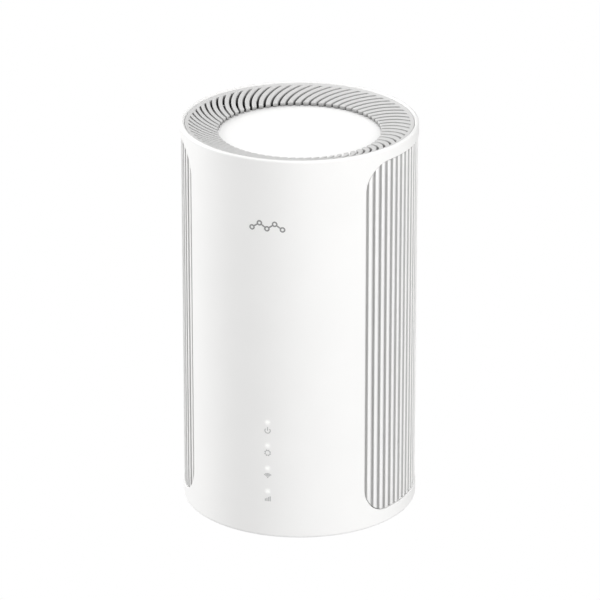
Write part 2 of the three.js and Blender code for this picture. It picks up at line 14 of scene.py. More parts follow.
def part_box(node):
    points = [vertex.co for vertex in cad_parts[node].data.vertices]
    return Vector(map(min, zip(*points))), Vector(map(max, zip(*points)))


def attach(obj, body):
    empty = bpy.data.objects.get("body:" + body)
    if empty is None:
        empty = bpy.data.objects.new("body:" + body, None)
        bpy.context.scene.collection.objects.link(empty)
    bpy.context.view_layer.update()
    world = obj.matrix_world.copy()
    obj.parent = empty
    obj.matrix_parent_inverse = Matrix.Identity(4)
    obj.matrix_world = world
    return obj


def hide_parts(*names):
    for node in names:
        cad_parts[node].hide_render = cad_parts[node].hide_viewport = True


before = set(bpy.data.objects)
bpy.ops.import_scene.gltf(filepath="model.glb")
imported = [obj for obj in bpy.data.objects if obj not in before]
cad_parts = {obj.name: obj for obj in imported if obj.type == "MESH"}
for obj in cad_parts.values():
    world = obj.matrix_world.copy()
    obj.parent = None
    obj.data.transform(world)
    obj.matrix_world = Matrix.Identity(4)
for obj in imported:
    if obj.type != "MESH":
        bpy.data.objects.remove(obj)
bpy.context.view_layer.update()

MM = 0.001
BODY = "casing"

# ---- Sizes, from the frame where it has them ----


def box(node):
    """A node's lowest and highest corners at rest, in millimetres."""
    return [[round(v / MM, 3) for v in corner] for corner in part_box(node)]


def height(node):
    """The height of a node's middle."""
    low, high = box(node)
    return (low[2] + high[2]) / 2


sleeve_low, sleeve_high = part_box("outer_sleeve")
PRINT = 0.035  # the print stands this proud of the sleeve, inside the frame's box
WALL = 2.1  # measured in from the frame's box
R = sleeve_high.x / MM - PRINT  # the sleeve's outer radius
INSIDE = sleeve_high.x / MM - WALL
SHELL_LOW, SHELL_TOP = sleeve_low.z / MM, sleeve_high.z / MM

panel_low, panel_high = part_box("right_vent_panel")
OPEN_GAP = 0.35
OPEN_LOW, OPEN_HIGH = panel_low.z / MM - OPEN_GAP, panel_high.z / MM + OPEN_GAP
OPEN_HALF = 40.75  # either way of the X axis
OPEN_CORNER = 13.5

_, (CAP_RADIUS, _, crown_top) = box("top_cap")
CAP_TOP = crown_top - 0.3

FIN_COUNT = 66
FIN_INNER, FIN_OUTER = 38.3, 52.0
FIN_ROOT = FIN_OUTER + 0.5  # inside the band
FIN_NOTCH = 40.25  # nearer the axis than this a fin hangs over the disc
FIN_SHARE = 0.65  # of the pitch
FIN_SWEEP, FIN_BOW, FIN_PHASE = 15.5, 0.4, 1.2  # how far round, how curved and where they start
FIN_LOW, FIN_LOW_OUTER = 182.0, 186.9  # the underside, at the inner ends and at the band
BAND_LOW = 184.85
DISH_DROP = 0.5  # below the sleeve's rim
DISH_SLOPE = tan(radians(14.7))

LIGHTS = [height(f"led_{i + 1}") for i in range(4)]
# the second radius is where the painted glow in the wall round each light fades out
LIGHT_HOLE, PAINTED_GLOW_RADIUS = 0.95, 1.9

(_, TRAY_BACK, tray_low), (FLANGE_HALF, _, tray_high) = box("rear_io_bezel")
LAP = 1.7  # of the tray's flange behind the sleeve, at its top and bottom
BEZEL_LOW, BEZEL_HIGH = tray_low + LAP, tray_high - LAP
BEZEL_HALF = 18.0

# ---- Camera ----

VIEW_AZIMUTH, VIEW_ELEVATION = 15.5, 22.26
CAMERA_DISTANCE = 2.077
LENS, SENSOR = 261.8, 36
SHIFT_X, SHIFT_Y = 0.0008, 0.0128


def look_from(obj, azimuth, elevation, distance, middle):
    """Puts a camera or a light at a distance from a point, looking at it."""
    a, e = radians(azimuth), radians(elevation)
    back = Vector((sin(a) * cos(e), -cos(a) * cos(e), sin(e)))
    obj.location = Vector((0, 0, middle)) + back * distance
    obj.rotation_mode = "QUATERNION"
    obj.rotation_quaternion = (-back).to_track_quat("-Z", "Y")


def new_object(name, data):
    obj = bpy.data.objects.new(name, data)
    bpy.context.scene.collection.objects.link(obj)
    return obj


def make_camera():
    data = bpy.data.cameras.new("camera")
    data.lens, data.sensor_width = LENS, SENSOR
    data.shift_x, data.shift_y = SHIFT_X, SHIFT_Y
    data.clip_start, data.clip_end = 0.05, 50
    camera = new_object("camera", data)
    middle = (SHELL_LOW + SHELL_TOP) / 2 * MM
    look_from(camera, VIEW_AZIMUTH, VIEW_ELEVATION, CAMERA_DISTANCE, middle)
    bpy.context.scene.camera = camera


make_camera()

# ---- Materials ----

CLOUD = 35  # the noise scale of a slow drift in tone


class Nodes:
    """A material's node tree, with short ways to add nodes to it."""

    def __init__(self, name):
        self.material = bpy.data.materials.new(name)
        self.material.use_nodes = True
        self.tree = self.material.node_tree
        self.shader = self.tree.nodes["Principled BSDF"]
        self.position = self.add("ShaderNodeTexCoord").outputs["Object"]

    def add(self, kind, **values):
        node = self.tree.nodes.new(kind)
        for key, value in values.items():
            if hasattr(node, key):
                setattr(node, key, value)
            else:
                node.inputs[key.replace("_", " ")].default_value = value
        return node

    def link(self, source, target):
        self.tree.links.new(source, target)

    def feed(self, name, source):
        """Links a value to an input of the shader."""
        self.link(source, self.shader.inputs[name])

    def noise(self, scale, detail=2.0, rough=0.5, stretch=None):
        node = self.add("ShaderNodeTexNoise", Scale=scale, Detail=detail, Roughness=rough)
        source = self.position
        if stretch:
            mapping = self.add("ShaderNodeMapping")
            mapping.inputs["Scale"].default_value = stretch
            self.link(source, mapping.inputs["Vector"])
            source = mapping.outputs["Vector"]
        self.link(source, node.inputs["Vector"])
        return node.outputs["Fac"]

    def spread(self, source, low, high, start=0.3, end=0.7):
        """Maps start..end of a value to low..high."""
        node = self.add("ShaderNodeMapRange")
        for key, value in zip(("From Min", "From Max", "To Min", "To Max"), (start, end, low, high)):
            node.inputs[key].default_value = value
        self.link(source, node.inputs["Value"])
        return node.outputs["Result"]

    def mix(self, factor, a, b):
        """Mixes two colours, each a socket or a tuple."""
        node = self.add("ShaderNodeMix", data_type="RGBA")
        for value, socket in ((a, node.inputs[6]), (b, node.inputs[7])):
            if isinstance(value, tuple):
                socket.default_value = value
            else:
                self.link(value, socket)
        self.link(factor, node.inputs[0])
        return node.outputs[2]

    def math(self, operation, a, b=0.0):
        node = self.add("ShaderNodeMath", operation=operation)
        for value, socket in ((a, node.inputs[0]), (b, node.inputs[1])):
            if isinstance(value, (int, float)):
                socket.default_value = value
            else:
                self.link(value, socket)
        return node.outputs[0]

    def edges(self):
        """1 on sharp convex edges, 0 elsewhere."""
        point = self.add("ShaderNodeNewGeometry").outputs["Pointiness"]
        return self.spread(point, 0.0, 1.0, 0.52, 0.6)

    def finish(self, colour, rough, relief, strength, depth):
        """Sets the shader's colour and roughness, and bumps it by a relief of a depth."""
        self.feed("Base Color", colour)
        self.feed("Roughness", rough)
        node = self.add("ShaderNodeBump", Strength=strength, Distance=depth * MM)
        self.link(relief, node.inputs["Height"])
        self.feed("Normal", node.outputs["Normal"])
        return self.material


def grey(value, warm=0.0):
    """A grey, yellower as warm rises."""
    return (value, value * (1 - warm * 0.3), value * (1 - warm), 1.0)


def scaled(colour, factor):
    return tuple(min(c * factor, 1.0) for c in colour[:3]) + (1.0,)


def light_distance(n):
    """How far a point is from the nearest status light."""
    nearest = None
    for z in LIGHTS:
        away = n.add("ShaderNodeVectorMath", operation="DISTANCE")
        away.inputs[1].default_value = (0, -R * MM, z * MM)
        n.link(n.position, away.inputs[0])
        here = away.outputs["Value"]
        nearest = n.math("MINIMUM", nearest, here) if nearest else here
    return nearest


def plastic(name, colour, rough, grain=0.25, depth=0.012, wear=1.04, vary=0.012, painted_glow=0.0):
    """Moulded plastic with a spark-eroded grain, slow colour and gloss drift and rubbed edges.

    A painted glow makes the wall itself emit light round each status light, though the wall is no lamp."""
    n = Nodes(name)
    cloud = n.noise(CLOUD, 3)
    body = n.mix(n.spread(cloud, 0, 1), scaled(colour, 1 - vary), scaled(colour, 1 + vary * 0.4))
    edges = n.edges()
    worn = n.mix(n.math("MULTIPLY", edges, 0.5), body, scaled(colour, wear))
    fine = n.noise(1 / (grain * MM), 2, 0.6)
    gloss = n.math("ADD", n.spread(cloud, rough - 0.03, rough + 0.03), n.spread(fine, -0.03, 0.03))
    gloss = n.math("SUBTRACT", gloss, n.math("MULTIPLY", edges, 0.06))
    # painted glow: the wall emits light in a ring round each status light
    if painted_glow:
        glow = n.spread(light_distance(n), painted_glow, 0.0, LIGHT_HOLE * MM, PAINTED_GLOW_RADIUS * MM)
        n.feed("Emission Strength", glow)
        n.shader.inputs["Emission Color"].default_value = (1.0, 1.0, 1.0, 1.0)
    return n.finish(worn, gloss, fine, 0.35, depth)


def metal(name, colour, rough, stretch=None):
    """Sheet, plated or extruded metal, with its rolling or plating marks."""
    n = Nodes(name)
    n.shader.inputs["Metallic"].default_value = 1.0
    cloud = n.noise(120, 3)
    marks = n.noise(1 / (0.15 * MM), 3, 0.6, stretch)
    tone = n.mix(n.spread(cloud, 0, 1), scaled(colour, 0.86), colour)
    worn = n.mix(n.edges(), tone, scaled(colour, 1.1))
    return n.finish(worn, n.spread(marks, rough - 0.08, rough + 0.1), marks, 0.25, 0.01)


def clear_plastic(name, tint):
    n = Nodes(name)
    n.shader.inputs["Transmission Weight"].default_value = 0.85
    n.shader.inputs["IOR"].default_value = 1.49
    cloud = n.noise(300, 2)
    colour = n.mix(n.spread(cloud, 0, 1), scaled(tint, 0.96), tint)
    return n.finish(colour, n.spread(cloud, 0.12, 0.22), n.noise(2500), 0.1, 0.01)


def circuit_board(name, colour):
    """Solder mask over copper: tracks show as faint raised bands."""
    n = Nodes(name)
    cells = n.add("ShaderNodeTexBrick", Scale=240.0)
    n.link(n.position, cells.inputs["Vector"])
    cells.inputs["Color1"].default_value = scaled(colour, 0.9)
    cells.inputs["Color2"].default_value = scaled(colour, 1.2)
    cells.inputs["Mortar"].default_value = scaled(colour, 1.8)
    speck = n.noise(1500, 3)
    mask = n.mix(n.spread(speck, 0, 0.5), cells.outputs["Color"], colour)
    return n.finish(mask, n.spread(speck, 0.32, 0.48), cells.outputs["Fac"], 0.3, 0.02)


def lamp(name, middle, rim):
    """Lit lens tips, brightest in the middle of each one."""
    n = Nodes(name)
    glow = n.spread(light_distance(n), middle, rim, 0.2 * LIGHT_HOLE * MM, LIGHT_HOLE * MM)
    n.feed("Emission Strength", glow)
    n.shader.inputs["Emission Color"].default_value = (1.0, 1.0, 0.985, 1.0)
    unlit = n.mix(n.spread(n.noise(1500), 0, 1), grey(0.05), grey(0.06))
    return n.finish(unlit, n.spread(n.noise(4000), 0.3, 0.4), n.noise(2500), 0.1, 0.01)


# the shell paints a faint glow round each status light
SHELL = plastic("shell_white", grey(0.87, 0.012), rough=0.36, painted_glow=0.08)
CAP = plastic("cap_white", grey(0.93, 0.006), rough=0.38)
BASE = plastic("base_white", grey(0.84, 0.012), rough=0.5)
BEZEL = plastic("bezel_grey", grey(0.6, 0.012), rough=0.5)
DARK = plastic("dark_plastic", grey(0.035), rough=0.55, wear=1.5, vary=0.08)
BLACK = plastic("connector_black", grey(0.02), rough=0.42, wear=1.6, vary=0.1)
RUBBER = plastic("foot_rubber", grey(0.36, 0.02), rough=0.8, grain=0.4, depth=0.03, wear=1.12, vary=0.05)
STEEL = metal("screw_steel", grey(0.55), rough=0.32)
TIN = metal("tinned_steel", (0.72, 0.72, 0.7, 1), rough=0.3, stretch=(1, 0.15, 1))
ALUMINIUM = metal("heat_sink_aluminium", (0.68, 0.69, 0.7, 1), rough=0.4, stretch=(1, 1, 0.08))
BRASS = metal("contact_brass", (0.83, 0.62, 0.28, 1), rough=0.25)
GOLD = metal("contact_gold", (0.95, 0.7, 0.3, 1), rough=0.2)
COPPER = metal("antenna_copper", (0.75, 0.42, 0.24, 1), rough=0.35)
BOARD = circuit_board("board_green", (0.012, 0.1, 0.05, 1))
PAD = plastic("thermal_pad", (0.27, 0.37, 0.58, 1), rough=0.8, grain=0.5, depth=0.04, wear=1.1)
CLEAR = clear_plastic("clear_plastic", (0.93, 0.96, 0.98, 1))
CABLE = plastic("cable_grey", grey(0.06), rough=0.5, wear=1.3)
RIBBON = plastic("ribbon_white", grey(0.75, 0.03), rough=0.4, grain=0.6, depth=0.02)
LABEL = plastic("label_silver", grey(0.6), rough=0.38, grain=0.12, depth=0.004)
LENS = lamp("lit_lens", 1.0, 0.8)
MARK = plastic("mark_grey", grey(0.27), rough=0.45, depth=0.004, wear=1.0)
SYMBOL = plastic("symbol_grey", grey(0.49), rough=0.45, depth=0.004, wear=1.0)


def numbered(name, count):
    """The names of several like nodes."""
    return [f"{name}_{i + 1}" for i in range(count)]


NODE_LOOKS = {
    DARK: ["inner_frame", "light_baffle"],
    BLACK: ["soc_chip", "memory_chip", "mesh_switch", "reset_switch"],
    STEEL: numbered("heat_sink_screw", 2) + numbered("board_screw", 2),
    TIN: numbered("radio_shield", 2),
    ALUMINIUM: ["heat_sink"],
    BRASS: numbered("cable_plug", 4),
    COPPER: numbered("antenna", 4),
    BOARD: ["main_board", "led_board"],
    PAD: ["thermal_pad"],
    CLEAR: numbered("led", 4),
    CABLE: numbered("antenna_cable", 4),
    RIBBON: ["led_ribbon_cable"],
}

for look, names in NODE_LOOKS.items():
    for node_name in names:
        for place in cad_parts[node_name].material_slots:
            place.material = look

# ---- Mesh helpers ----


def new_mesh(name, shape, look):
    mesh = bpy.data.meshes.new(name)
    mesh.from_pydata([tuple(c * MM for c in p) for p in shape.points], [], shape.faces)
    mesh.materials.append(look)
    return mesh


def make_object(name, shape, look, nodes=(), body=BODY, smooth=30.0):
    """A piece from a Mesh. Its edges above smooth degrees stay sharp."""
    return finish_object(new_mesh(name, shape, look), name, nodes, body, smooth)


def finish_object(mesh, name, nodes=(), body=BODY, smooth=30.0):
    obj = new_object(name, mesh)
    tidy(mesh)
    mesh.shade_smooth()
    mesh.set_sharp_from_angle(angle=radians(smooth))
    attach(obj, body)
    if nodes:
        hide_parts(*nodes)
    return obj


MERGE = 0.0005  # points nearer than this are one point


def tidy(mesh):
    """Joins points that coincide, drops empty faces and turns all faces outwards."""
    bm = bmesh.new()
    bm.from_mesh(mesh)
    bmesh.ops.remove_doubles(bm, verts=bm.verts, dist=MERGE * MM)
    bmesh.ops.dissolve_degenerate(bm, edges=bm.edges, dist=MERGE * MM)
    bmesh.ops.recalc_face_normals(bm, faces=bm.faces)
    bm.to_mesh(mesh)
    bm.free()


def wrap(u, z, radius):
    """A point of a sheet rolled round Z: u millimetres round the sleeve's outside, from the front."""
    a = u / R
    return radius * sin(a), -radius * cos(a), z


def rounded_outline(centre, half, corner, offset=0.0, step=1.6, tall_step=6.0, corner_steps=12, level=1.0):
    """The points round a rounded rectangle, anticlockwise, always as many for any offset.

    The offset is multiplied by level along the top and bottom, and eases to that round the corners."""
    (cu, cz), (hu, hz) = centre, half
    nu = max(1, round(2 * (hu - corner) / step))
    nz = max(1, round(2 * (hz - corner) / tall_step))
    points = []
    corners = [(1, -1, -90, nz), (1, 1, 0, nu), (-1, 1, 90, nz), (-1, -1, 180, nu)]

    def reach(a):
        return corner + offset * (level + (1 - level) * cos(a) ** 4)

    for index, (su, sz, start, count) in enumerate(corners):
        ou, oz = cu + su * (hu - corner), cz + sz * (hz - corner)
        for i in range(corner_steps + 1):
            a = radians(start + 90 * i / corner_steps)
            points.append((ou + reach(a) * cos(a), oz + reach(a) * sin(a)))
        su, sz, _, _ = corners[(index + 1) % 4]
        pu, pz = cu + su * (hu - corner), cz + sz * (hz - corner)
        a = radians(start + 90)
        du, dz = reach(a) * cos(a), reach(a) * sin(a)
        points += [
            (ou + (pu - ou) * i / count + du, oz + (pz - oz) * i / count + dz) for i in range(1, count)
        ]
    return points


def rectangle(x0, x1, z0, z1, corner=0.0, steps=6):
    """A rectangle's outline, with rounded corners if it has a corner radius."""
    if corner <= 0:
        return [(x0, z0), (x1, z0), (x1, z1), (x0, z1)]
    centre, half = ((x0 + x1) / 2, (z0 + z1) / 2), ((x1 - x0) / 2, (z1 - z0) / 2)
    return rounded_outline(centre, half, corner, 0, 50, 50, steps)


def circle_outline(centre, radius, offset=0.0, steps=24):
    (u, z), r = centre, radius + offset
    return [(u + r * cos(a), z + r * sin(a)) for a in (2 * pi * i / steps for i in range(steps))]


def inside(points, u, z):
    """Which of the points u, z (arrays) are within an outline."""
    found = np.zeros(len(u), bool)
    p = np.array(points)
    q = np.roll(p, -1, axis=0)
    for (u0, z0), (u1, z1) in zip(p, q):
        if z0 == z1:
            continue
        found ^= ((z0 > z) != (z1 > z)) & (u < (u1 - u0) * (z - z0) / (z1 - z0) + u0)
    return found


HOLE_CLEAR = 0.9  # grid points this near a hole are left out


def sheet_with_holes(span_u, span_z, columns, rows, holes):
    """A triangulated rectangle in u and z with holes. Its left and right edges match up when wrapped."""
    us = np.linspace(*span_u, columns + 1)
    zs = np.linspace(*span_z, rows + 1)
    points = [(u, z) for u in us for z in zs]
    border = [u in (us[0], us[-1]) or z in (zs[0], zs[-1]) for u, z in points]
    arr = np.array(points)
    keep = np.ones(len(points), bool)
    for hole in holes:
        h = np.array(hole)
        keep &= ~inside(hole, arr[:, 0], arr[:, 1])
        near = np.min(np.hypot(arr[:, None, 0] - h[None, :, 0], arr[:, None, 1] - h[None, :, 1]), axis=1)
        keep &= near > HOLE_CLEAR
    keep |= np.array(border)
    verts = [Vector(p) for p, k in zip(points, keep) if k]
    edges = []
    for hole in holes:
        first = len(verts)
        verts += [Vector(p) for p in hole]
        edges += [(first + i, first + (i + 1) % len(hole)) for i in range(len(hole))]
    out, _, faces, _, _, _ = geometry.delaunay_2d_cdt(verts, edges, [], 0, 1e-7)
    centres = np.array([[sum(out[i][k] for i in f) / len(f) for k in (0, 1)] for f in faces])
    drop = np.zeros(len(faces), bool)
    for hole in holes:
        drop |= inside(hole, centres[:, 0], centres[:, 1])
    return [tuple(v) for v in out], [tuple(f) for f, d in zip(faces, drop) if not d]


class Mesh:
    """Points and faces gathered from several surfaces."""

    def __init__(self):
        self.points, self.faces = [], []

    def surface(self, points, faces, flip=False):
        start = len(self.points)
        self.points += points
        self.faces += [tuple(start + i for i in (reversed(f) if flip else f)) for f in faces]

    def strips(self, loops):
        """Quads between neighbouring closed loops of equal length."""
        n = len(loops[0])
        start = len(self.points)
        for loop in loops:
            self.points += loop
        for k in range(len(loops) - 1):
            for i in range(n):
                a, b = start + k * n + i, start + k * n + (i + 1) % n
                self.faces.append((a, b, b + n, a + n))

    def cap(self, loop):
        start = len(self.points)
        self.points += loop
        self.faces.append(tuple(range(start, start + len(loop))))

    def capped(self, loops):
        """Strips between loops, with both ends closed."""
        self.strips(loops)
        self.cap(loops[0])
        self.cap(loops[-1])


def prism_y(outline, y0, y1):
    """A closed prism along Y from an outline in X and Z."""
    mesh = Mesh()
    mesh.capped([[(x, y, z) for x, z in outline] for y in (y0, y1)])
    return mesh


def prism_z(mesh, outline, z0, z1):
    """Adds a closed prism along Z from an outline in X and Y."""
    mesh.capped([[(x, y, z) for x, y in outline] for z in (z0, z1)])


def rings_y(z, profile, sides=48):
    """Rings about an axis along Y, at a height, from [radius, y] points."""
    return [[(x, y, v) for x, v in circle_outline((0, z), r, steps=sides)] for r, y in profile]


def arc(steps):
    """Sine and cosine pairs over a quarter turn."""
    return [(sin(pi / 2 * i / steps), cos(pi / 2 * i / steps)) for i in range(steps + 1)]


def turned_loops(profile, sides, span=(0, 360)):
    """The rings of a turned surface from [radius, height] points."""
    angles = np.radians(np.linspace(*span, sides, endpoint=False))
    return [[(r * sin(a), -r * cos(a), z) for a in angles] for r, z in profile]


def turned(mesh, profile, sides, closed=False):
    """A turned surface. An open profile starts and ends on the axis; a closed one makes a ring."""
    if closed:
        mesh.strips(turned_loops(profile + profile[:1], sides))
        return
    rings = turned_loops(profile[1:-1], sides)
    mesh.strips(rings)
    for ring, z in ((rings[0], profile[0][1]), (rings[-1], profile[-1][1])):
        start = len(mesh.points)
        mesh.points += [*ring, (0.0, 0.0, z)]
        mesh.faces += [(start + i, start + (i + 1) % sides, start + sides) for i in range(sides)]


def rounded_profile(corners):
    """Rounds a closed profile of [x, y, radius] corners."""
    out, steps = [], 4
    n = len(corners)
    for i, (x, y, r) in enumerate(corners):
        if r <= 0:
            out.append((x, y))
            continue
        p = np.array((x, y), float)
        a = np.array(corners[i - 1][:2], float) - p
        b = np.array(corners[(i + 1) % n][:2], float) - p
        la, lb = np.linalg.norm(a), np.linalg.norm(b)
        a, b = a / la, b / lb
        half = acos(max(-1, min(1, float(a @ b)))) / 2
        reach = min(r / tan(half), la * 0.49, lb * 0.49)
        radius = reach * tan(half)
        centre = p + (a + b) / np.linalg.norm(a + b) * radius / sin(half)
        start = p + a * reach - centre
        sweep = pi - 2 * half
        turn = 1 if a[0] * b[1] - a[1] * b[0] < 0 else -1
        for k in range(steps + 1):
            t = turn * sweep * k / steps
            c, s = cos(t), sin(t)
            q = centre + np.array((c * start[0] - s * start[1], s * start[0] + c * start[1]))
            out.append((float(q[0]), float(q[1])))
    return out


def bevelled(obj, width, segments=2, angle=35):
    modifier = obj.modifiers.new("bevel", "BEVEL")
    modifier.width = width * MM
    modifier.segments = segments
    modifier.limit_method = "ANGLE"
    modifier.angle_limit = radians(angle)
    modifier.harden_normals = True


def combine(obj, other, operation, solver="EXACT"):
    """Cuts or joins one object with another, and removes the other."""
    modifier = obj.modifiers.new("combine", "BOOLEAN")
    modifier.operation = operation
    modifier.solver = solver
    modifier.object = other
    dg = bpy.context.evaluated_depsgraph_get()
    mesh = bpy.data.meshes.new_from_object(obj.evaluated_get(dg))
    obj.modifiers.remove(modifier)
    old = obj.data
    obj.data = mesh
    bpy.data.meshes.remove(old)
    bpy.data.objects.remove(other)


def loose(name, shape, look):
    """An object from a Mesh, still to be cut or joined, or a tool for that."""
    mesh = new_mesh(name, shape, look)
    tidy(mesh)
    return new_object(name, mesh)


def taken_mesh(obj):
    """The mesh of a loose object, which is then removed."""
    mesh = obj.data
    bpy.data.objects.remove(obj)
    return mesh


# ---- The sleeve ----

SEAM = -155.0  # plain wall between the left opening and the rear cut-out
open_centre_u = radians(90) * R
open_half_u = radians(OPEN_HALF) * R
open_middle = (OPEN_LOW + OPEN_HIGH) / 2
open_half_z = (OPEN_HIGH - OPEN_LOW) / 2
bezel_half_u = asin(BEZEL_HALF / R) * R
SIDE_FILLET, REAR_FILLET, HOLE_FILLET = 1.1, 0.5, 0.12
REAR_CORNER = 4.2
SIDE_LEVEL = 0.25  # the side openings' edge is crisper along its top and bottom


def side_opening(side):
    centre, half = (side * open_centre_u, open_middle), (open_half_u, open_half_z)
    return lambda offset: rounded_outline(centre, half, OPEN_CORNER, offset, level=SIDE_LEVEL)


def rear_opening(offset):
    centre = (pi * R, (BEZEL_LOW + BEZEL_HIGH) / 2)
    half = (bezel_half_u, (BEZEL_HIGH - BEZEL_LOW) / 2)
    return rounded_outline(centre, half, REAR_CORNER, offset, corner_steps=8)


def sleeve_holes():
    """Each hole of the sleeve as a function from offset to outline, with its edge radius."""
    holes = [(side_opening(1), SIDE_FILLET), (side_opening(-1), SIDE_FILLET), (rear_opening, REAR_FILLET)]
    holes += [(lambda d, z=z: circle_outline((0, z), LIGHT_HOLE, d), HOLE_FILLET) for z in LIGHTS]
    return holes


def build_sleeve():
    rim, foot, chamfer = 1.05, 1.4, 0.4
    holes = sleeve_holes()
    seam_u = radians(SEAM) * R
    span = (seam_u, seam_u + 2 * pi * R)
    columns, rows = 240, 36
    mesh = Mesh()
    low, high = SHELL_LOW + foot, SHELL_TOP - rim
    outer_holes = [outline(fillet) for outline, fillet in holes]
    points, faces = sheet_with_holes(span, (low, high), columns, rows, outer_holes)
    mesh.surface([wrap(u, z, R) for u, z in points], faces)
    inner_holes = [outline(0) for outline, _ in holes]
    points, faces = sheet_with_holes(span, (SHELL_LOW + chamfer, high), columns, rows, inner_holes)
    mesh.surface([wrap(u, z, INSIDE) for u, z in points], faces, flip=True)
    for outline, fillet in holes:
        loops = []
        edge, rim_line = outline(0), outline(fillet)
        for s, c in arc(5):
            loop = []
            for (u0, z0), (u1, z1) in zip(edge, rim_line):
                radius = hypot(u1 - u0, z1 - z0)
                loop.append(wrap(u0 + (u1 - u0) * (1 - s), z0 + (z1 - z0) * (1 - s), R - radius * (1 - c)))
            loops.append(loop)
        loops.append([wrap(u, z, INSIDE) for u, z in edge])
        mesh.strips(loops)
    top = [(R - rim * (1 - c), high + rim * s) for s, c in arc(6)]
    top += [(INSIDE + rim * (1 - s), high + rim * c) for s, c in arc(6)]
    bottom = [(INSIDE, SHELL_LOW + chamfer), (INSIDE + chamfer, SHELL_LOW)]
    bottom += [(R - foot * (1 - s), SHELL_LOW + foot * (1 - c)) for s, c in arc(6)]
    for profile in (top, bottom):
        mesh.strips(turned_loops(profile, columns, (SEAM, SEAM + 360)))
    obj = make_object("sleeve", mesh, SHELL, ["outer_sleeve"], smooth=42)
    smooth_outside(obj)


def smooth_outside(obj):
    """Gives the points on the sleeve's outside their exact cylinder normals."""
    mesh = obj.data
    co = np.empty(len(mesh.vertices) * 3)
    mesh.vertices.foreach_get("co", co)
    co = co.reshape(-1, 3)
    radius = np.hypot(co[:, 0], co[:, 1])
    outside = np.abs(radius - R * MM) < 1e-6
    normals = np.zeros((len(mesh.loops), 3), np.float32)
    for polygon in mesh.polygons:
        middle = Vector((polygon.center.x, polygon.center.y, 0)).normalized()
        if polygon.normal.dot(middle) < 0.9:
            continue
        for loop in polygon.loop_indices:
            v = mesh.loops[loop].vertex_index
            if outside[v]:
                normals[loop] = (co[v, 0] / radius[v], co[v, 1] / radius[v], 0)
    mesh.normals_split_custom_set([tuple(n) for n in normals])


build_sleeve()

# ---- Reeded side panels ----

RIBS, RIB_PITCH, RIB_FIRST = 20, 3.99, -39.4
RIB_CREST, RIB_GROOVE = R - 0.35, R - 1.75
RIB_FALL = 2.5  # the power of the curve down a rib's long side
# the ribs' own white, and the darker grey painted into their valleys as shade
RIB_TONE, VALLEY_SHADE_TONE = 0.87, 0.53
PANEL_BACK = 52.0


def axis_distance(n):
    """How far a point is from the Z axis."""
    flat = n.add("ShaderNodeVectorMath", operation="MULTIPLY")
    flat.inputs[1].default_value = (1, 1, 0)
    n.link(n.position, flat.inputs[0])
    length = n.add("ShaderNodeVectorMath", operation="LENGTH")
    n.link(flat.outputs[0], length.inputs[0])
    return length.outputs["Value"]


def clouded(n, low, high):
    """A warm grey that drifts slowly between two tones."""
    return n.mix(n.spread(n.noise(CLOUD, 3), 0, 1), grey(low, 0.01), grey(high, 0.01))


def shaded(n, body, worn, rubbing, rough):
    """Finishes a moulding whose colour carries painted shade by depth, with rubbed edges and a fine grain.
    """
    rubbed = n.math("MULTIPLY", n.edges(), rubbing)
    colour = n.mix(rubbed, body, grey(worn, 0.01))
    fine = n.noise(4000, 2, 0.6)
    gloss = n.spread(fine, rough - 0.05, rough + 0.05)
    gloss = n.math("SUBTRACT", gloss, n.math("MULTIPLY", rubbed, 0.2))
    return n.finish(colour, gloss, fine, 0.35, 0.012)


def rib_material():
    """White ribs with painted shade: their valleys are painted a darker grey."""
    n = Nodes("rib_white")
    # painted shade: below the crests the colour falls to the valley grey
    high = n.spread(axis_distance(n), 0, 1, (RIB_CREST - 0.36) * MM, (RIB_CREST - 0.06) * MM)
    white = clouded(n, RIB_TONE - 0.02, RIB_TONE)
    painted_valley_shade = clouded(n, VALLEY_SHADE_TONE * 0.96, VALLEY_SHADE_TONE)
    return shaded(n, n.mix(high, painted_valley_shade, white), RIB_TONE + 0.02, 0.3, 0.45)


RIB = rib_material()


def rib_columns():
    """Angle and radius pairs across the panel: each rib has a steep side and falls away to the next."""
    crest = 0.5  # degrees into a rib
    steep = [(0.1, 0.22), (0.16, 0.1), (0.3, 0.02), (crest, 0.0)]
    columns = []
    for rib in range(RIBS):
        start = RIB_FIRST + rib * RIB_PITCH
        columns.append((start, RIB_GROOVE))
        columns += [(start + a, RIB_CREST - drop) for a, drop in steep]
        for i in range(1, 10):
            t = i / 10
            drop = (RIB_CREST - RIB_GROOVE) * t**RIB_FALL
            columns.append((start + crest + (RIB_PITCH - crest) * t, RIB_CREST - drop))
    columns.append((RIB_FIRST + RIBS * RIB_PITCH, RIB_GROOVE))
    return columns


def build_panel(side):
    limit = OPEN_HALF - degrees(OPEN_GAP / R)
    columns = [(-limit, RIB_GROOVE)] + rib_columns() + [(limit, RIB_GROOVE)]
    hu, hz, corner = radians(limit) * R, open_half_z - OPEN_GAP, OPEN_CORNER - OPEN_GAP
    round_end = [(0.0, 0.3), (0.09, 0.09), (0.3, 0.0)]
    grid = []
    for angle, radius in columns:
        u = radians(angle) * R
        past = max(0.0, abs(u) - (hu - corner))
        reach = hz - corner + sqrt(max(0.0, corner**2 - past**2))
        outward = side * (open_centre_u + u)
        low, high = open_middle - reach, open_middle + reach
        ends = [(d, max(radius - drop, PANEL_BACK + 0.2)) for d, drop in round_end]
        column = [(low + d, r) for d, r in ends]
        column += [(open_middle + reach * t, radius) for t in (-0.9, -0.5, 0, 0.5, 0.9)]
        column += [(high - d, r) for d, r in reversed(ends)]
        column += [(high, PANEL_BACK), (low, PANEL_BACK)]
        grid.append([wrap(outward, z, r) for z, r in column])
    mesh = Mesh()
    mesh.capped(grid)
    hand = "right" if side > 0 else "left"
    node = f"{hand}_vent_panel"
    make_object(f"rib_panel_{hand}", mesh, RIB, [node], smooth=50)


build_panel(1)
build_panel(-1)

# ---- The top: swirl and disc ----

